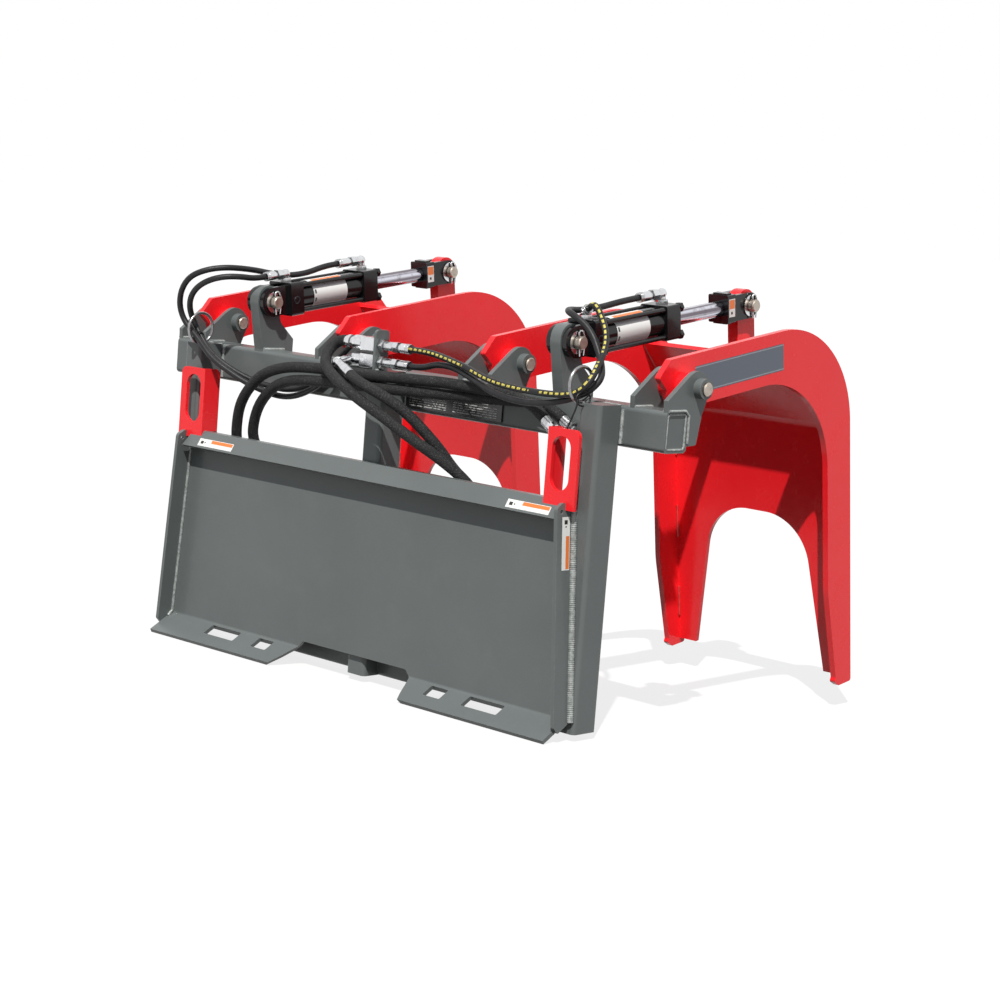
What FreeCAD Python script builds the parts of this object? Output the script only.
"""Skid steer grapple: two claws on a quick attach plate, each closed by its own cylinder.

Millimetres. +X runs across the machine, +Y points away from the loader towards the claws, +Z is up.
The sizes below are measured from the plate's front face, the middle of the grapple and the ground;
the finished part is then set with its origin in the middle of its footprint, on the ground.
"""
import FreeCAD, Part
import math
import os

from FreeCAD import Vector

# Quick attach plate: a bent sheet with a hook lip on top and a slanted flange at the bottom
sheet_wall = 8.0
plate_top = 440.0
plate_half_top = 534.0
plate_half_bottom = 568.0
lip_length = 37.0
lip_angle = 60.0
lip_bend = 2.0
lip_half_fold = 516.0
lip_half_edge = 537.0
flange_length = 62.0
flange_angle = 30.0
flange_bend = 6.0
cutout_top = 53.0
cutout_half_top = 149.0
cutout_half_fold = 165.0
cutout_half_bottom = 200.0
slot_wide = 92.0
slot_small = 45.0
slot_height = 29.0
slot_wide_centre = 378.0
slot_small_centre = 252.0
slot_corner = 3.0

# Side plates at the ends of the attach plate
side_wall = 8.0
side_reach = 46.0
side_hole = 8.0

# Upright posts and the tubes that they carry
post_width = 50.8
post_depth = 63.5
post_foot = 13.0
post_wall = 6.35
post_corner = 9.0
post_centre = 560.0
tube_depth = 63.5
tube_height = 76.2
tube_top = 620.7
tube_half = 688.0
tube_wall = 6.35
tube_corner = 9.0
cap_wall = 6.35
cap_sunk = 2.0
tie_bar_height = 50.8
tie_bar_depth = 25.4
tie_bar_wall = 4.8

# Claw pivots
pivot_y = 152.3
pivot_z = 662.2
pin_bore = 25.4
pin_play = 0.05
arm_wall = 12.7
arm_outer = 643.5
arm_inner = 206.0
ear_wall = 10.0
ear_gap = 69.0
ear_round = 34.0
boss_outer = 38.0
boss_length = 16.0
pin_proud = 5.5
hub_outer = 50.8
hub_play = 0.5

# Claw: side arms drawn square, then tilted up about the pivot
claw_tilt = 9.5
arm_above = 54.4
arm_below = 42.0
arm_front = 518.0
arm_leg = 442.0
arm_tip = 704.0
arm_outer_round = 213.0
arm_inner_round = 200.0
heel_round = 47.0
web_wall = 9.5
web_inset = 6.0
web_foot = 692.0
web_bend_start = 184.0
web_bend_turn = 35.0
web_bend_round = 26.0
web_facet = 172.0
arch_half_foot = 168.0
arch_half_spring = 117.0
arch_top = 375.0
arch_round = 109.0
lug_wall = 25.4

# Cylinders, with the pivot on the tube and the pivot on the claw
base_pin_y = 77.0
base_pin_z = 722.0
rod_pin_y = 593.0
rod_pin_z = 800.0
cap_square = 70.0
cap_round = 5.0
base_cap_start = 42.0
base_cap_length = 34.0
head_cap_start = 252.0
head_cap_length = 40.0
barrel_outer = 60.0
barrel_bore = 50.8
tie_rod = 10.0
tie_rod_offset = 26.5
nut_flats = 17.0
nut_height = 9.0
rod_thick = 31.75
piston_length = 32.0
piston_behind_cap = 80.0
clevis_start = 451.0
clevis_throat = 478.0
clevis_block = 56.0
clevis_step = 3.0
clevis_ear = 10.7
clevis_play = 1.6
clevis_height = 52.0
clevis_round = 25.0
base_clevis_height = 60.0
base_clevis_round = 30.0
open_pivot_play = 7.3
lug_round = 33.0
tab_rear = 25.4
tab_front = 28.6
tab_above = 31.0
tab_foot_front = 504.0
pin_end = 17.0
washer_wall = 3.0
washer_outer = 44.0
clip_wire = 3.4
clip_low = 26.0
clip_high = 21.5
clip_eye = 10.5
clip_bow = 16.4
elbow_size = 21.0
elbow_ball = 10.0
elbow_barrel = 9.0
sleeve_radius = 9.5
hose_gap = 0.4
base_port_left = 58.0
base_port_right = 53.5
head_port = 276.0
base_port_axis_left = 51.0
base_port_axis_right = 48.0
head_port_axis = 54.0

# Brackets
handle_wall = 8.0
handle_plane = 20.0
handle_inner = 487.0
handle_outer = 562.0
handle_low = 425.0
handle_top = 572.0
handle_flange = 42.0
handle_slot_inner = 499.0
handle_slot_outer = 544.0
handle_slot_bottom = 458.0
handle_slot_top = 558.0
ring_mid = 32.0
ring_bar = 6.4
ring_x = 537.0
ring_y = -1.0
ring_sunk = 2.0
coupler_plate_x = -12.0
coupler_plate_wall = 6.0
coupler_plate_top = 700.0
coupler_plate_rear = 4.0
coupler_plate_front = 40.0
coupler_y = 20.0
coupler_upper_z = 670.0
coupler_lower_z = 637.0
coupler_tee = 28.0
coupler_tee_end = -55.0
coupler_body_end = -80.0
coupler_body_radius = 14.5
coupler_upper_end = -108.0
coupler_lower_end = -86.0
coupler_nose = 74.0
branch_x = -35.0
branch_y = 50.0
branch_end = -80.0
label_wall = 3.0
label_left = 28.0
label_right = 290.0
label_low = 552.0
label_high = 590.0
label_corner = 3.0

# Hoses: each route runs from its first fitting to its last, as points chosen by hand
hose_size = 12.5
sleeved_size = 22.0
bend_share = 0.45
cylinder_routes = {
    "base_left": [
        (-424.75, 70.4, 772.6), (-424.8, 42, 768.3), (-431, 8, 771), (-448, -22, 769), (-476, -39, 759),
        (-510, -42, 741), (-540, -33, 716), (-556, -18, 688), (-555, -3, 661), (-540, 1, 640),
        (-514, -1, 616), (-473, 0, 592), (-438, 12, 574), (-403, 26, 560), (-364, 42, 550),
        (-300, 50, 547), (-240, 50, 565), (-190, 49, 594), (-152, 50, 638), (-114, 50, 670), (-80, 50, 670)],
    "head_left": [
        (-424.75, 271.6, 806), (-424.75, 238, 800.9), (-430, 190, 783), (-443, 148, 776), (-449, 112, 778),
        (-450, 70, 784), (-454, 30, 787), (-466, -6, 787), (-490, -34, 780), (-522, -50, 764),
        (-553, -46, 736), (-573, -34, 702), (-573, -22, 672), (-553, -17, 651), (-521, -15, 628),
        (-480, -18, 598), (-440, -9, 577), (-400, 8, 556), (-358, 26, 540), (-298, 32, 533),
        (-240, 32, 547), (-190, 33, 575), (-148, 44, 610), (-112, 50, 637), (-80, 50, 637)],
    "base_right": [
        (74, 20, 670), (110, 20, 670), (153, 13, 668), (235, 3, 655), (315, -6, 635),
        (385, -10, 629), (458, -10, 628), (508, -9, 631), (537, -7, 639), (556, 0, 660),
        (546, 31, 688), (526, 71, 719), (508, 90, 747), (482, 104, 771), (464, 110, 789),
        (448, 115, 793), (436, 119, 785)],
    "head_right": [
        (74, 20, 637), (108, 20, 637), (150, 20, 650), (204, 14, 648), (264, 3, 632),
        (330, -6, 612), (400, -6, 605), (457, -5, 610), (500, 2, 620), (533, 8, 634),
        (548, 20, 648), (548, 42, 667), (527, 62, 690), (507, 68, 720), (494, 68, 740), (474, 69, 757),
        (450, 67, 770), (424, 74, 777), (405, 98, 779), (403, 134, 778), (411, 176, 784),
        (424.75, 226.1, 799.1), (424.75, 271.6, 806)],
}
feed_routes = {
    "upper": [
        (-108, 20, 670), (-128, 20, 670), (-140, 4, 652), (-124, -22, 633), (-88, -49, 616),
        (-38, -64, 597), (22, -68, 571), (95, -59, 540), (154, -42, 507), (204, -9, 473),
        (248, 19, 437), (272, 60, 380), (200, 95, 330), (30, 105, 300), (-140, 98, 305),
        (-270, 88, 312), (-348, 74, 322), (-400, 54, 348), (-424, 30, 394), (-424, 18, 436),
        (-415, 10, 473), (-397, 0, 509), (-366, -8, 544), (-320, -13, 580), (-262, -14, 599),
        (-205, -14, 607), (-107, -14, 611), (42, -14, 613), (119, -8, 616), (184, 6, 618),
        (247, 20, 615), (318, 28, 614), (375, 26, 607), (412, 24, 593), (436, 22, 577)],
    "lower": [
        (-20, -48, 611), (8, -57, 602), (48, -58, 592), (88, -50, 577), (124, -36, 557),
        (156, -16, 525), (184, 8, 488), (204, 28, 452), (212, 70, 418), (150, 100, 380),
        (20, 112, 350), (-140, 106, 350), (-265, 90, 356), (-335, 72, 366), (-375, 50, 396),
        (-387, 30, 440), (-378, 24, 477), (-354, 14, 512), (-315, 2, 543), (-271, -8, 566),
        (-215, -14, 580), (-113, -14, 586), (44, -14, 590), (119, -4, 593), (185, 15, 594),
        (247, 32, 595), (316, 47, 599), (384, 50, 602), (429, 50, 594), (456, 50, 579)],
}
lower_elbow_turn = (-82, -27, 630)
feed_fitting = 32.0
feed_fitting_radius = 10.5

post_top = tube_top
tube_front = post_depth + tube_depth
tube_bottom = tube_top - tube_height
span = (arm_outer + arm_inner) / 2
arm_centres = {"left_outer": -arm_outer, "left_inner": -arm_inner,
               "right_inner": arm_inner, "right_outer": arm_outer}
sides = {"left": -1, "right": 1}
posts = {"left": -post_centre, "centre": 0.0, "right": post_centre}
rod_slope = math.degrees(math.atan2(rod_pin_z - base_pin_z, rod_pin_y - base_pin_y))
stroke_rest = math.hypot(rod_pin_z - base_pin_z, rod_pin_y - base_pin_y)
big = 2000.0
nodes = {}


def box(x0, x1, y0, y1, z0, z1):
    """Block between two corners."""
    return Part.makeBox(x1 - x0, y1 - y0, z1 - z0, Vector(x0, y0, z0))


def bar(radius, x0, x1, y, z):
    """Round bar along X."""
    return Part.makeCylinder(radius, x1 - x0, Vector(x0, y, z), Vector(1, 0, 0))


def rounded(corners, place):
    """Face inside a polygon; each corner is (a, b) or (a, b, radius)."""
    ends = []
    for index, corner in enumerate(corners):
        here = place(corner[0], corner[1])
        radius = corner[2] if len(corner) > 2 else 0.0
        if radius == 0.0:
            ends.append((here, None, here))
            continue
        before = place(*corners[index - 1][:2]) - here
        after = place(*corners[(index + 1) % len(corners)][:2]) - here
        half = before.getAngle(after) / 2
        before.normalize()
        after.normalize()
        middle = before + after
        middle.normalize()
        reach = radius / math.tan(half)
        bulge = radius / math.sin(half) - radius
        ends.append((here + before * reach, here + middle * bulge, here + after * reach))
    edges = []
    for index, (start, middle, end) in enumerate(ends):
        if middle is not None:
            edges.append(Part.Arc(start, middle, end).toShape())
        following = ends[(index + 1) % len(ends)][0]
        if end.distanceToPoint(following) > 0.001:
            edges.append(Part.LineSegment(end, following).toShape())
    return Part.Face(Part.Wire(edges))


def plate_x(corners, x0, x1):
    """Flat plate whose outline is drawn in Y and Z."""
    face = rounded(corners, lambda y, z: Vector(x0, y, z))
    return face.extrude(Vector(x1 - x0, 0, 0))


def plate_y(corners, y0, y1):
    """Flat plate whose outline is drawn in X and Z."""
    face = rounded(corners, lambda x, z: Vector(x, y0, z))
    return face.extrude(Vector(0, y1 - y0, 0))


def strip(start, heading, moves, wall, x0, x1):
    """Bent sheet along X. Its middle line starts at (y, z) and follows runs and bends.

    A move is ("run", length) or ("bend", degrees, inner radius); a positive bend turns left.
    """
    here = Vector(x0, start[0], start[1])
    angle = math.radians(heading)
    left, right = [], []
    edge = wall / 2
    for move in moves:
        ahead = Vector(0, math.cos(angle), math.sin(angle))
        side = Vector(0, -math.sin(angle), math.cos(angle))
        if move[0] == "run":
            there = here + ahead * move[1]
            left.append(Part.LineSegment(here + side * edge, there + side * edge).toShape())
            right.append(Part.LineSegment(here - side * edge, there - side * edge).toShape())
            here = there
            continue
        turn = math.radians(move[1])
        hand = 1.0 if turn > 0 else -1.0
        middle_radius = move[2] + edge
        centre = here + side * (hand * middle_radius)
        for edges, offset in ((left, edge), (right, -edge)):
            radius = middle_radius - hand * offset
            points = []
            for share in (0.0, 0.5, 1.0):
                at = angle + turn * share
                points.append(centre + Vector(0, math.sin(at), -math.cos(at)) * (hand * radius))
            edges.append(Part.Arc(*points).toShape())
        angle = angle + turn
        here = centre + Vector(0, math.sin(angle), -math.cos(angle)) * (hand * middle_radius)
    side = Vector(0, -math.sin(angle), math.cos(angle))
    first = left[0].Vertexes[0].Point
    last = right[0].Vertexes[0].Point
    ends = [Part.LineSegment(first, last).toShape(),
            Part.LineSegment(here + side * edge, here - side * edge).toShape()]
    wire = Part.Wire(Part.__sortEdges__(left + right + ends))
    return Part.Face(wire).extrude(Vector(x1 - x0, 0, 0))


def tilted(shape, degrees, y, z):
    """Turn a shape about a line along X through (y, z)."""
    turned = shape.copy()
    turned.rotate(Vector(0, y, z), Vector(1, 0, 0), degrees)
    return turned


def moved(shape, x, y, z):
    """Copy of a shape, carried by (x, y, z)."""
    copy = shape.copy()
    copy.translate(Vector(x, y, z))
    return copy


def corner_bars(shape, radius, direction):
    """Round the long edges of a bar that run along one direction."""
    long_edges = [edge for edge in shape.Edges
                  if abs(edge.tangentAt(edge.FirstParameter).dot(direction)) > 0.99]
    return shape.makeFillet(radius, long_edges)


def tube_bar(x0, x1, y0, y1, z0, z1, wall, corner, direction):
    """Rectangular steel tube with rounded corners, open at both ends."""
    outer = corner_bars(box(x0, x1, y0, y1, z0, z1), corner, direction)
    dx = 0.0 if direction.x else wall
    dy = 0.0 if direction.y else wall
    dz = 0.0 if direction.z else wall
    inner = box(x0 + dx, x1 - dx, y0 + dy, y1 - dy, z0 + dz, z1 - dz)
    return outer.cut(corner_bars(inner, corner - wall, direction))


def attach_sheet():
    """Plate, lip and flange bent from one sheet, cut to its slanted ends and its notch."""
    middle = -sheet_wall / 2
    fold_low = 38.0
    lip_radius = lip_bend + sheet_wall
    run_up = plate_top - lip_radius - fold_low
    body = strip((middle, fold_low), 90.0, [
        ("run", run_up),
        ("bend", 180.0 - (90.0 - lip_angle), lip_bend),
        ("run", lip_length),
    ], sheet_wall, -plate_half_bottom, plate_half_bottom)
    foot = strip((middle, fold_low), -90.0, [
        ("bend", -(90.0 - flange_angle), flange_bend),
        ("run", flange_length),
    ], sheet_wall, -plate_half_bottom, plate_half_bottom)
    sheet = body.fuse(foot).removeSplitter()
    sheet.translate(Vector(0, 0, -sheet.BoundBox.ZMin))
    ends = plate_y([(-plate_half_bottom, -1), (plate_half_bottom, -1), (plate_half_bottom, 25),
                    (plate_half_top, plate_top + 1), (-plate_half_top, plate_top + 1),
                    (-plate_half_bottom, 25)], -big, big)
    sheet = sheet.common(ends)
    for hand in (-1, 1):
        corner = plate_y([(hand * lip_half_fold, plate_top + 5), (hand * lip_half_edge, plate_top - 45),
                          (hand * 700, plate_top - 45), (hand * 700, plate_top + 5)], -80, -sheet_wall - 0.5)
        sheet = sheet.cut(corner)
    notch = plate_y([(-cutout_half_top, cutout_top, 6), (cutout_half_top, cutout_top, 6),
                     (cutout_half_fold, 36), (180, 16), (cutout_half_bottom, -5),
                     (-cutout_half_bottom, -5), (-180, 16), (-cutout_half_fold, 36)], -big, big)
    sheet = sheet.cut(notch)
    for centre, width in ((slot_wide_centre, slot_wide), (slot_small_centre, slot_small)):
        for hand in (-1, 1):
            sheet = sheet.cut(flange_slot(hand * centre, width))
    return sheet


def flange_slot(centre, width):
    """Cutter for one lock slot, square to the flange."""
    cutter = box(centre - width / 2, centre + width / 2, -slot_height / 2, slot_height / 2, -20, 20)
    cutter = corner_bars(cutter, slot_corner, Vector(0, 0, 1))
    cutter = tilted(cutter, flange_angle, 0, 0)
    return moved(cutter, 0, -24.0, 27.0)


def side_plate(hand):
    """End plate that closes one end of the attach plate, leaning with its taper."""
    lean = math.degrees(math.atan2(plate_half_bottom - plate_half_top, plate_top - 25))
    outline = [(0, 33), (-6, 33), (-34, 17, 4), (-45, 28.6, 4), (-side_reach, 430, 10),
               (-29, 440, 8), (-8, 433), (0, 433)]
    plate = plate_x(outline, 0, side_wall)
    plate = plate.cut(bar(side_hole / 2, -1, side_wall + 1, -34, 423))
    plate.rotate(Vector(0, 0, 25), Vector(0, 1, 0), -lean)
    plate.translate(Vector(plate_half_bottom, 0, 0))
    if hand < 0:
        plate = plate.mirror(Vector(0, 0, 0), Vector(1, 0, 0))
    return plate


def post(x):
    """Upright tube with a cap on each end."""
    half = post_width / 2
    tube = tube_bar(x - half, x + half, 0, post_depth, post_foot, post_top, post_wall, post_corner,
                    Vector(0, 0, 1))
    for z in (post_foot, post_top - post_wall):
        cap = box(x - half + 1, x + half - 1, 1, post_depth - 1, z, z + post_wall)
        tube = tube.fuse(corner_bars(cap, post_corner - 1, Vector(0, 0, 1)))
    return tube.removeSplitter()


def cross_tube():
    """Long tube on the front of the posts that carries ears and cylinders."""
    return tube_bar(-tube_half, tube_half, post_depth, tube_front, tube_bottom, tube_top, tube_wall,
                    tube_corner, Vector(1, 0, 0))


def tube_cap(hand):
    """Plug plate in one end of the cross tube, set just inside the end."""
    inside = tube_wall
    x0, x1 = tube_half - cap_sunk - cap_wall, tube_half - cap_sunk
    if hand < 0:
        x0, x1 = -x1, -x0
    plate = box(x0, x1, post_depth + inside, tube_front - inside, tube_bottom + inside, tube_top - inside)
    return corner_bars(plate, tube_corner - tube_wall, Vector(1, 0, 0))


def tie_bar(hand):
    """Short flat tube between two posts, low down."""
    x0 = post_width / 2
    x1 = post_centre - post_width / 2
    if hand < 0:
        x0, x1 = -x1, -x0
    return tube_bar(x0, x1, post_depth - tie_bar_depth, post_depth, post_foot,
                    post_foot + tie_bar_height, tie_bar_wall, tie_bar_wall + 1, Vector(1, 0, 0))


def ear(x0, x1):
    """One ear plate over the front top edge of the cross tube, bored for the pivot pin."""
    foot_back = post_depth + 3
    outline = [(foot_back, tube_top - 8), (foot_back - 1.5, tube_top + 19.3), (118, tube_top + 61, 10),
               (pivot_y, pivot_z + ear_round + 8, ear_round), (pivot_y + 34, 665, 20), (165, 614, 8),
               (154.4, 558, 6), (tube_front - 6, 556)]
    plate = plate_x(outline, x0, x1)
    plate = plate.cut(bar(pin_bore / 2 + pin_play, x0 - 1, x1 + 1, pivot_y, pivot_z))
    return plate


def ear_pair(centre, tube):
    """The two ears of one arm, with a boss on each outer face, seated on the tube."""
    solids = []
    for hand in (-1, 1):
        near = centre + hand * ear_gap / 2
        far = near + hand * ear_wall
        plate = ear(min(near, far), max(near, far))
        tip = far + hand * boss_length
        boss = bar(boss_outer / 2, min(far, tip), max(far, tip), pivot_y, pivot_z)
        bore = bar(pin_bore / 2 + pin_play, min(near, tip) - 1, max(near, tip) + 1, pivot_y, pivot_z)
        solids.append(plate.fuse(boss).cut(bore).cut(tube).removeSplitter())
    return solids


def pivot_pin(centre):
    """Claw pivot pin with a chamfer at each end."""
    half = ear_gap / 2 + ear_wall + boss_length + pin_proud
    pin = bar(pin_bore / 2, centre - half, centre + half, pivot_y, pivot_z)
    return pin.makeChamfer(2.0, round_edges(pin))


def round_edges(shape):
    """All full circles of a turned solid."""
    return [edge for edge in shape.Edges if edge.isClosed() and edge.Curve.TypeId == "Part::GeomCircle"]


def claw_outline():
    """Side arm, square to the pivot: u runs forward and w up from the pivot."""
    u, w = pivot_y, pivot_z
    return [(u - 34, w + arm_above, 8), (u - 67, w + 25, 5), (u - heel_round, w),
            (u - heel_round, w - heel_round, heel_round - 0.5), (u + 20, w - heel_round, 20),
            (u + 60, w - arm_below, 30), (u + arm_leg, w - arm_below, arm_inner_round),
            (u + arm_leg, w - 500, 200), (u + 467, w - 686, 6), (u + 462, w - 693, 5), (u + 476, w - arm_tip, 4),
            (u + arm_front, w - arm_tip, 6), (u + arm_front, w + arm_above, arm_outer_round)]


def arm(centre):
    """One side arm plate, bored for its hub."""
    plate = plate_x(claw_outline(), centre - arm_wall / 2, centre + arm_wall / 2)
    return plate.cut(bar(hub_outer / 2, centre - arm_wall, centre + arm_wall, pivot_y, pivot_z))


def hub(centre):
    """Pivot tube through an arm plate, filling the space between the ears."""
    half = ear_gap / 2 - hub_play
    tube = bar(hub_outer / 2, centre - half, centre + half, pivot_y, pivot_z)
    return tube.cut(bar(pin_bore / 2 + pin_play, centre - half - 1, centre + half + 1, pivot_y, pivot_z))


def web(hand):
    """Bent plate between the two arms of a claw, with an arch between its two teeth."""
    near = arm_inner + arm_wall / 2
    far = arm_outer - arm_wall / 2
    x0, x1 = (near, far) if hand > 0 else (-far, -near)
    front = pivot_y + arm_front - web_inset - web_wall / 2
    plate = strip((front, pivot_z - web_foot), 90.0, [
        ("run", web_foot - web_bend_start),
        ("bend", web_bend_turn, web_bend_round),
        ("run", web_facet),
    ], web_wall, x0, x1)
    middle = hand * span
    foot = pivot_z - web_foot - 1
    arch = plate_y([(middle - arch_half_foot, foot), (middle + arch_half_foot, foot),
                    (middle + arch_half_spring, pivot_z - arch_top, arch_round),
                    (middle - arch_half_spring, pivot_z - arch_top, arch_round)],
                   front - 3 * web_wall, front + 3 * web_wall)
    return plate.cut(arch)


def rod_tab(hand, web_plate):
    """Thick lug on the web that the rod clevis grips; its hole is wide for the open pivot."""
    x = hand * span
    u, w = pivot_y, pivot_z
    square = tilted(Part.Vertex(0, rod_pin_y, rod_pin_z), -claw_tilt, u, w).Point
    y, z = square.y, square.z
    top = z + tab_above
    outline = [(y - tab_rear, w - 85), (y - tab_rear, top, tab_rear), (y + tab_front, top, tab_rear),
               (y + tab_front, w - 60, 40), (u + tab_foot_front, w - 130), (u + tab_foot_front, w - 178)]
    plate = plate_x(outline, x - lug_wall / 2, x + lug_wall / 2)
    hole = bar(pin_bore / 2 + open_pivot_play, x - lug_wall, x + lug_wall, y, z)
    return biggest(plate.cut(hole).cut(web_plate))


def claw_pieces(name, hand):
    """Arms, hubs, web and tab of one claw, tilted as they stand at rest."""
    web_plate = web(hand)
    pieces = {"web_plate_" + name: web_plate, "rod_tab_" + name: rod_tab(hand, web_plate)}
    centres = [arm_centres[name + "_inner"], arm_centres[name + "_outer"]]
    pieces["arm_plate_" + name + "_inner"] = arm(centres[0])
    pieces["arm_plate_" + name + "_outer"] = arm(centres[1])
    pieces["pivot_hubs_" + name] = Part.makeCompound([hub(centre) for centre in centres])
    for key, shape in pieces.items():
        nodes[key] = tilted(shape, claw_tilt, pivot_y, pivot_z)


def base_lug(hand, tube):
    """Thick lug that stands on the cross tube and carries one cylinder."""
    x = hand * span
    y, z = base_pin_y, base_pin_z
    outline = [(post_depth + 1, tube_top - 9), (post_depth + 1, tube_top + 1), (y - lug_round, z - 2, 30),
               (y - lug_round + 4, z + lug_round, lug_round - 5), (y + lug_round - 2, z + lug_round, lug_round - 5),
               (y + lug_round - 3, z - 40, 30), (tube_front + 22, 644, 4), (tube_front + 22, 590, 4),
               (tube_front - 8, 590)]
    plate = plate_x(outline, x - lug_wall / 2, x + lug_wall / 2)
    return plate.cut(bar(pin_bore / 2 + pin_play, x - lug_wall, x + lug_wall, y, z)).cut(tube)


def in_cylinder(shape, hand):
    """Carry a piece drawn along +Y from the origin to its place on one cylinder's line."""
    placed = tilted(shape, rod_slope, 0, 0)
    return moved(placed, hand * span, base_pin_y, base_pin_z)


def hose_start(name, index, hand):
    """End of a cylinder's hose, seen from the cylinder's own frame."""
    point = Vector(*cylinder_routes[name][index]) - Vector(hand * span, base_pin_y, base_pin_z)
    turned = FreeCAD.Rotation(Vector(1, 0, 0), -rod_slope).multVec(point)
    return turned


def square_block(size, y0, y1, radius):
    """Square cap block around the Y axis."""
    half = size / 2
    return corner_bars(box(-half, half, y0, y1, -half, half), radius, Vector(0, 1, 0))


def round_bar(radius, y0, y1, x=0.0, z=0.0):
    """Round bar along Y."""
    return Part.makeCylinder(radius, y1 - y0, Vector(x, y0, z), Vector(0, 1, 0))


def fork(root_start, root_end, pin_at, round_size, height, wall, gap):
    """Clevis along Y: a root block and two rounded ears bored for a pin."""
    half = gap / 2 + wall
    ahead = 1 if pin_at > root_start else -1
    tip = pin_at + ahead * round_size
    low, high = min(root_start, tip), max(root_start, tip)
    outline = [(low, -height / 2), (high, -height / 2), (high, height / 2), (low, height / 2)]
    corner = round_size - 0.5
    order = (1, 2) if ahead > 0 else (0, 3)
    outline = [point + (min(corner, height / 2 - 0.5),) if index in order else point
               for index, point in enumerate(outline)]
    body = plate_x(outline, -half, half)
    throat_low, throat_high = min(root_end, tip - ahead), max(root_end, tip + ahead * 5)
    if ahead < 0:
        throat_low, throat_high = tip - 5, root_end
    body = body.cut(box(-gap / 2, gap / 2, throat_low, throat_high, -height, height))
    return body.cut(bar(pin_bore / 2 + pin_play, -half - 1, half + 1, pin_at, 0))


def base_cap():
    """Rear cap of the cylinder with its clevis, in one piece."""
    block = square_block(cap_square, base_cap_start, base_cap_start + base_cap_length, cap_round)
    ears = fork(base_cap_start + 1, base_cap_start, 0.0, base_clevis_round, base_clevis_height, clevis_ear,
                lug_wall + 2 * clevis_play)
    return block.fuse(ears).removeSplitter()


def barrel_tube():
    """Barrel between the two caps."""
    start = base_cap_start + base_cap_length
    outer = round_bar(barrel_outer / 2, start, head_cap_start)
    return outer.cut(round_bar(barrel_bore / 2, start - 1, head_cap_start + 1))


def head_cap():
    """Front cap with the rod gland standing proud of it."""
    end = head_cap_start + head_cap_length
    block = square_block(cap_square - 2, head_cap_start, end, cap_round)
    gland = round_bar(rod_thick / 2 + 9, end - 1, end + 7)
    return block.fuse(gland).cut(round_bar(rod_thick / 2 + pin_play, head_cap_start - 1, end + 10))


def tie_rods():
    """Four tie rods with a nut at each end."""
    solids = []
    start = base_cap_start + base_cap_length
    end = head_cap_start + head_cap_length
    for x in (-tie_rod_offset, tie_rod_offset):
        for z in (-tie_rod_offset, tie_rod_offset):
            shank = round_bar(tie_rod / 2, start, head_cap_start, x, z)
            solids.append(shank)
            solids.append(hex_nut(x, z, end).fuse(round_bar(tie_rod / 2, end, end + nut_height + 3, x, z)))
    return Part.makeCompound(solids)


def hex_bar(flats, start, run):
    """Six sided bar from a point along a vector."""
    side = run.cross(Vector(0, 0, 1) if abs(run.z) < abs(run.x) + abs(run.y) else Vector(1, 0, 0))
    side.normalize()
    up = run.cross(side)
    up.normalize()
    reach = flats / math.sqrt(3)
    points = [start + side * (reach * math.cos(math.radians(60 * k)))
              + up * (reach * math.sin(math.radians(60 * k))) for k in range(7)]
    return Part.Face(Part.makePolygon(points)).extrude(run)


def hex_nut(x, z, y):
    """Six sided nut along Y."""
    return hex_bar(nut_flats, Vector(x, y, z), Vector(0, nut_height, 0))


def rod():
    """Chromed rod with the piston on its inner end."""
    piston_at = head_cap_start - piston_behind_cap
    piston = round_bar(barrel_bore / 2 - 0.1, piston_at - piston_length, piston_at)
    shaft = round_bar(rod_thick / 2, piston_at - piston_length - 8, clevis_start)
    return shaft.fuse(piston).removeSplitter()


def rod_clevis():
    """Clevis on the rod's end: a stepped block behind two rounded ears."""
    half = lug_wall / 2 + clevis_play + clevis_ear
    block = box(-half, half, clevis_start, clevis_throat - 2, -clevis_block / 2, clevis_block / 2)
    block = corner_bars(block, 3.0, Vector(0, 1, 0))
    step_half = clevis_block / 2 + clevis_step
    step = box(-half + 8, half - 8, clevis_start + 5, clevis_throat - 7, -step_half, step_half)
    ears = fork(clevis_throat - 6, clevis_throat, stroke_rest, clevis_round, clevis_height, clevis_ear,
                lug_wall + 2 * clevis_play)
    return block.fuse([step, ears]).removeSplitter()


def clevis_pin(at, grip_half):
    """Pin with a thin head, then the washer and hairpin clip near its open end."""
    head = bar(pin_bore / 2 + 4, -grip_half - 5, -grip_half - 0.3, at, 0)
    shank = bar(pin_bore / 2, -grip_half - 1, grip_half + pin_end, at, 0)
    end_circle = [edge for edge in round_edges(shank) if edge.CenterOfMass.x > 0]
    shank = shank.makeChamfer(2.0, end_circle)
    washer_at = grip_half + 0.3
    washer = bar(washer_outer / 2, washer_at, washer_at + washer_wall, at, 0)
    washer = washer.cut(bar(pin_bore / 2 + 0.5, washer_at - 1, washer_at + washer_wall + 1, at, 0))
    clip_at = washer_at + washer_wall + clip_wire / 2 + 1
    hole = Part.makeCylinder(clip_wire / 2 + 0.1, 80, Vector(clip_at, at, -40), Vector(0, 0, 1))
    pin = head.fuse(shank).cut(hole).removeSplitter()
    return pin, [washer, clip(clip_at, at)]


def clip(x, y):
    """Hairpin: one straight leg through the pin, an eye on top and a bowed leg outside."""
    leg = [(x, y, -clip_low), (x, y, clip_high), (x, y + clip_eye, clip_high), (x, y + clip_bow, 0),
           (x, y + clip_eye, -clip_low)]
    return swept(leg, clip_wire)[0]


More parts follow.
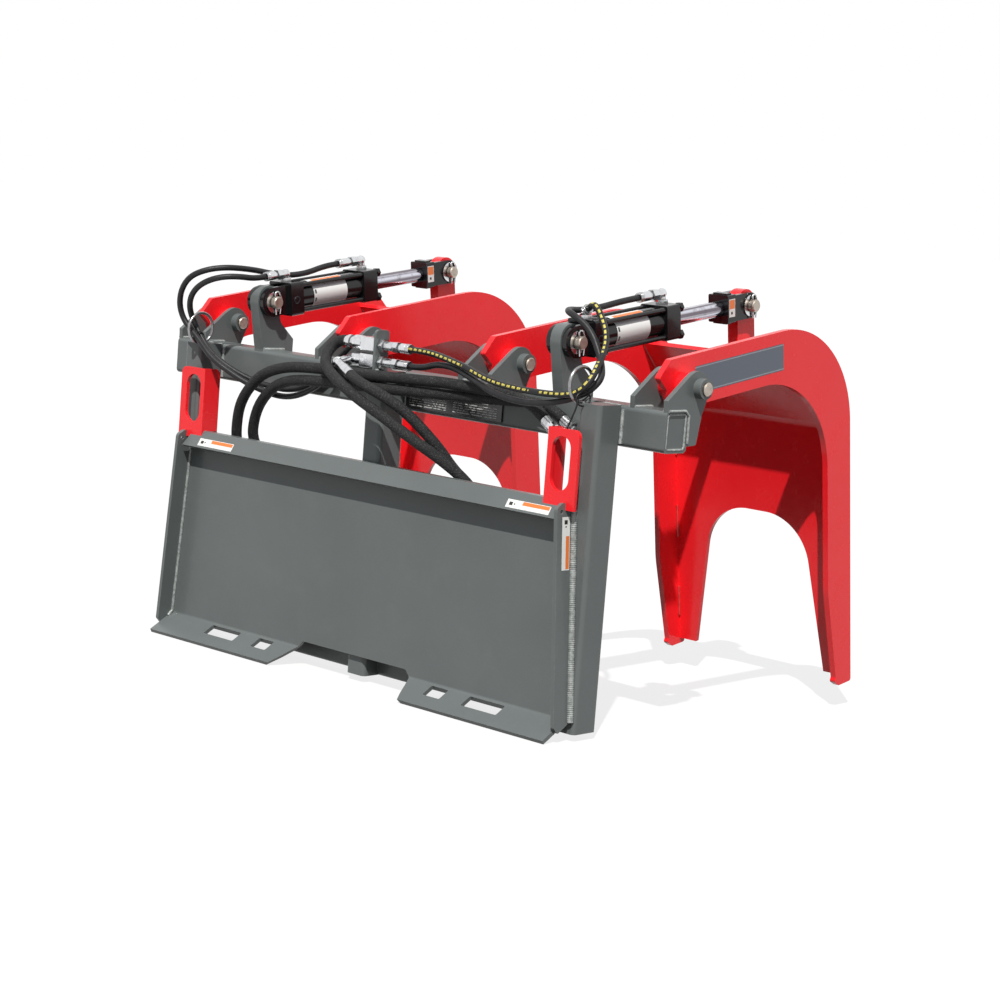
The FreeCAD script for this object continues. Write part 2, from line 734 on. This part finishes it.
def swept(points, diameter):
    """Round bar along straight runs that tangent arcs join; with its length and bend radii."""
    route = [Vector(*point) for point in points]
    edges = []
    radii = []
    here = route[0]
    for before, corner, after in zip(route, route[1:], route[2:]):
        back = before - corner
        ahead = after - corner
        reach = bend_share * min(back.Length, ahead.Length)
        half = back.getAngle(ahead) / 2
        back.normalize()
        ahead.normalize()
        middle = back + ahead
        middle.normalize()
        radius = reach * math.tan(half)
        start = corner + back * reach
        end = corner + ahead * reach
        edges.append(Part.LineSegment(here, start).toShape())
        edges.append(Part.Arc(start, corner + middle * (radius / math.sin(half) - radius), end).toShape())
        radii.append(radius)
        here = end
    edges.append(Part.LineSegment(here, route[-1]).toShape())
    path = Part.Wire(edges)
    section = Part.Wire(Part.Circle(route[0], route[1] - route[0], diameter / 2).toShape())
    return path.makePipeShell([section], True, False), path.Length, radii


def hose(name, points, diameter):
    """One hose, with a line that says how it came out."""
    tube, length, radii = swept(points, diameter)
    share = tube.Volume / (math.pi * diameter ** 2 / 4 * length)
    print(name, "length", round(length), "tightest bends", [round(radius) for radius in sorted(radii)[:4]],
          "volume share", round(share, 3))
    nodes[name] = tube


def elbow(at, low, axis, tip):
    """Zinc elbow on a port; its barrel, nut and crimped sleeve end at the tip, where the hose starts."""
    centre = Vector(0, at, axis)
    aim = tip - centre
    length = aim.Length - hose_gap
    aim.normalize()
    tip = centre + aim * length
    stem = hex_bar(elbow_size, Vector(0, at, low), Vector(0, 0, 8))
    parts = [Part.makeCylinder(elbow_barrel - 1, axis - low, Vector(0, at, low), Vector(0, 0, 1)),
             Part.makeSphere(elbow_ball, centre)]
    if length < 2 * elbow_ball:
        parts.append(Part.makeCylinder(elbow_barrel, length, centre, aim))
        return stem.fuse(parts).removeSplitter()
    return stem.fuse(parts + hose_end(centre, tip, elbow_barrel)).removeSplitter()


def hose_end(start, tip, barrel):
    """Barrel, swivel nut and crimped sleeve between an elbow and the end of its hose."""
    aim = tip - start
    length = aim.Length
    aim.normalize()
    nut = start + aim * (0.24 * length)
    sleeve = start + aim * (0.46 * length)
    groove = start + aim * (0.56 * length)
    return [Part.makeCylinder(barrel, 0.24 * length + 1, start, aim),
            hex_bar(elbow_size - 1, nut, aim * (0.22 * length)),
            Part.makeCylinder(sleeve_radius - 2, 0.12 * length, sleeve, aim),
            Part.makeCylinder(sleeve_radius, 0.44 * length, groove, aim)]


def cylinder_pieces(name, hand):
    """Every piece of one cylinder."""
    nodes["cylinder_base_cap_" + name] = in_cylinder(base_cap(), hand)
    nodes["cylinder_barrel_" + name] = in_cylinder(barrel_tube(), hand)
    nodes["cylinder_head_cap_" + name] = in_cylinder(head_cap(), hand)
    nodes["cylinder_tie_rods_" + name] = in_cylinder(tie_rods(), hand)
    base_top = cap_square / 2
    if hand < 0:
        base_elbow = elbow(base_port_left, base_top, base_port_axis_left, hose_start("base_left", 0, hand))
    else:
        base_elbow = elbow(base_port_right, base_top, base_port_axis_right, hose_start("base_right", -1, hand))
    head_elbow = elbow(head_port, base_top - 1, head_port_axis, hose_start("head_left", 0, -1))
    nodes["port_elbows_" + name] = in_cylinder(Part.makeCompound([base_elbow, head_elbow]), hand)
    nodes["cylinder_rod_" + name] = in_cylinder(rod(), hand)
    nodes["rod_clevis_" + name] = in_cylinder(rod_clevis(), hand)
    grip = lug_wall / 2 + clevis_play + clevis_ear
    for place, at in (("base", 0.0), ("rod", stroke_rest)):
        pin, retainers = clevis_pin(at, grip)
        nodes[place + "_pin_" + name] = in_cylinder(pin, hand)
        nodes[place + "_retainers_" + name] = in_cylinder(Part.makeCompound(retainers), hand)


def handle(hand, sheet, end_plate):
    """Angle bracket with a long hand slot, standing on the attach plate."""
    face = plate_y([(handle_inner, handle_low), (handle_outer, handle_low), (handle_outer, handle_top, 14),
                    (handle_inner, handle_top, 1)], -handle_plane - handle_wall / 2, -handle_plane + handle_wall / 2)
    slot_round = (handle_slot_outer - handle_slot_inner) / 2 - 0.5
    slot = plate_y([(handle_slot_inner, handle_slot_bottom, slot_round),
                    (handle_slot_outer, handle_slot_bottom, slot_round),
                    (handle_slot_outer, handle_slot_top, slot_round),
                    (handle_slot_inner, handle_slot_top, slot_round)], -60, 20)
    rear = -handle_plane - handle_wall / 2
    flange = plate_x([(rear, handle_low), (rear + handle_flange, handle_low),
                      (rear + handle_flange, handle_top, 14), (rear, handle_top)],
                     handle_inner, handle_inner + handle_wall)
    bracket = face.cut(slot).fuse(flange)
    below = box(handle_inner - 1, handle_outer + 1, -sheet_wall, 60, 400, plate_top)
    bracket = bracket.cut(below)
    if hand < 0:
        bracket = bracket.mirror(Vector(0, 0, 0), Vector(1, 0, 0))
    return bracket.cut(sheet).cut(end_plate).removeSplitter()


def biggest(shape):
    """The largest solid of a cut shape."""
    return max(shape.Solids, key=lambda solid: solid.Volume)


def hose_ring(hand, post_shape):
    """Round bar ring on a post that the hoses run through."""
    centre = Vector(hand * ring_x, ring_y, post_top + ring_mid + ring_bar / 2 - ring_sunk)
    ring = Part.makeTorus(ring_mid, ring_bar / 2, centre, Vector(1, 0, 0))
    return biggest(ring.cut(post_shape))


def coupler_bracket():
    """Upright plate on the centre post that holds the two bulkhead couplings."""
    x0 = coupler_plate_x - coupler_plate_wall / 2
    x1 = coupler_plate_x + coupler_plate_wall / 2
    plate = plate_x([(coupler_plate_rear, post_top), (coupler_plate_front, post_top),
                     (coupler_plate_front, coupler_plate_top, 8), (coupler_plate_rear, coupler_plate_top, 8)],
                    x0, x1)
    for z in (coupler_upper_z, coupler_lower_z):
        plate = plate.cut(bar(11.0, x0 - 1, x1 + 1, coupler_y, z))
    return plate


def coupling(z, tail):
    """Bulkhead tee along X: hexes and sleeve on one side, tee, body and hose tail on the other."""
    x0 = coupler_plate_x - coupler_plate_wall / 2
    x1 = coupler_plate_x + coupler_plate_wall / 2
    half = coupler_tee / 2
    tee = box(coupler_tee_end, x0, coupler_y - half, coupler_y + half, z - half, z + half)
    tee = corner_bars(tee, 3.0, Vector(1, 0, 0))
    parts = [bar(10.9, x0 - 1, x1 + 4, coupler_y, z),
             hex_bar(24.0, Vector(x1, coupler_y, z), Vector(12, 0, 0)),
             bar(9.0, x1 + 11, x1 + 26, coupler_y, z),
             bar(coupler_body_radius, coupler_body_end, coupler_tee_end, coupler_y, z),
             bar(11.5, coupler_body_end - 4, coupler_body_end, coupler_y, z),
             bar(10.5, tail, coupler_body_end - 3, coupler_y, z)]
    nose = Vector(x1 + 24, coupler_y, z)
    parts += hose_end(nose, Vector(coupler_nose, coupler_y, z), elbow_barrel)
    turn = Vector(branch_x, branch_y, z)
    parts += [Part.makeCylinder(elbow_ball, branch_y - coupler_y, Vector(branch_x, coupler_y, z), Vector(0, 1, 0)),
              Part.makeSphere(elbow_ball, turn)]
    parts += hose_end(turn, Vector(branch_end, branch_y, z), elbow_barrel)
    return tee.fuse(parts)


def coupling_upper():
    """Upper tee, with a collar before the sleeved hose."""
    collar = bar(13.0, coupler_upper_end + 8, coupler_upper_end + 16, coupler_y, coupler_upper_z)
    return coupling(coupler_upper_z, coupler_upper_end).fuse(collar).removeSplitter()


def coupling_lower():
    """Lower tee, whose tail turns to the front and ends in the crimped sleeve of the sleeved hose."""
    corner = Vector(coupler_lower_end, coupler_y, coupler_lower_z)
    turn = Vector(*lower_elbow_turn)
    aim = turn - corner
    tip = Vector(*feed_routes["lower"][0])
    away = Vector(*feed_routes["lower"][1]) - tip
    away.normalize()
    parts = [Part.makeSphere(10.5, corner), Part.makeCylinder(9.5, aim.Length, corner, aim),
             Part.makeSphere(10.5, turn)]
    back = tip - away * feed_fitting
    bridge = back - turn
    parts += [Part.makeCylinder(9.5, bridge.Length, turn, bridge), Part.makeSphere(9.5, back),
              Part.makeCylinder(feed_fitting_radius, feed_fitting, back, away)]
    return coupling(coupler_lower_z, coupler_lower_end).fuse(parts).removeSplitter()


def end_fitting(name):
    """Crimped sleeve, nut and plug on the free end of a feed hose."""
    last = Vector(*feed_routes[name][-1])
    aim = last - Vector(*feed_routes[name][-2])
    aim.normalize()
    sleeve = Part.makeCylinder(feed_fitting_radius, 0.6 * feed_fitting, last, aim)
    nut = hex_bar(elbow_size, last + aim * (0.6 * feed_fitting), aim * (0.25 * feed_fitting))
    plug = Part.makeCylinder(7.0, 0.2 * feed_fitting, last + aim * (0.8 * feed_fitting), aim)
    return sleeve.fuse([nut, plug]).removeSplitter()


def label_plate():
    """Thin plate on the rear face of the cross tube."""
    corners = [(label_left, label_low), (label_right, label_low), (label_right, label_high),
               (label_left, label_high)]
    return plate_y([corner + (label_corner,) for corner in corners], post_depth - label_wall, post_depth)


def build():
    """Make every piece, seated on its neighbours."""
    sheet = attach_sheet()
    tube = cross_tube()
    solid_tube = box(-tube_half, tube_half, post_depth, tube_front, tube_bottom, tube_top)
    solid_tube = corner_bars(solid_tube, tube_corner, Vector(1, 0, 0))
    nodes["quick_attach_plate"] = sheet
    nodes["cross_tube"] = tube
    for name, x in posts.items():
        nodes["post_" + name] = post(x)
    for name, hand in sides.items():
        nodes["side_plate_" + name] = biggest(side_plate(hand).cut(sheet))
        nodes["cylinder_lug_" + name] = base_lug(hand, solid_tube)
        nodes["handle_bracket_" + name] = biggest(handle(hand, sheet, nodes["side_plate_" + name]))
        claw_pieces(name, hand)
        cylinder_pieces(name, hand)
    for name in sides:
        centres = [arm_centres[name + "_inner"], arm_centres[name + "_outer"]]
        ears = [ear_plate for centre in centres for ear_plate in ear_pair(centre, solid_tube)]
        nodes["pivot_ears_" + name] = Part.makeCompound(ears)
    nodes["pivot_pins"] = Part.makeCompound([pivot_pin(x) for x in arm_centres.values()])
    nodes["tube_end_caps"] = Part.makeCompound([tube_cap(hand) for hand in sides.values()])
    nodes["tie_bars"] = Part.makeCompound([tie_bar(hand) for hand in sides.values()])
    rings = [hose_ring(hand, nodes["post_" + name]) for name, hand in sides.items()]
    nodes["hose_rings"] = Part.makeCompound(rings)
    nodes["coupler_bracket"] = coupler_bracket()
    nodes["coupling_upper"] = coupling_upper()
    nodes["coupling_lower"] = coupling_lower()
    nodes["label_plate"] = label_plate()
    for name, points in cylinder_routes.items():
        hose("hose_cylinder_" + name, points, hose_size)
    for name, points in feed_routes.items():
        hose("hose_feed_" + name, points, sleeved_size)
    nodes["feed_end_fittings"] = Part.makeCompound([end_fitting(name) for name in feed_routes])


build()
os.makedirs("parts", exist_ok=True)
rigid = [shape for name, shape in nodes.items() if not name.startswith(("hose_c", "hose_f", "feed_"))]
extent = Part.makeCompound(rigid).BoundBox
for name, shape in nodes.items():
    shape.translate(Vector(-extent.Center.x, -extent.Center.y, -extent.ZMin))
    shape.exportStep("parts/" + name + ".step")
    state = "ok" if shape.isValid() else "NOT VALID"
    print(name, len(shape.Solids), round(shape.Volume / 1000), state)
print("nodes", len(nodes), "size", round(extent.XLength, 1), round(extent.YLength, 1), round(extent.ZLength, 1))
print("shift", round(-extent.Center.x, 3), round(-extent.Center.y, 3), round(-extent.ZMin, 3))
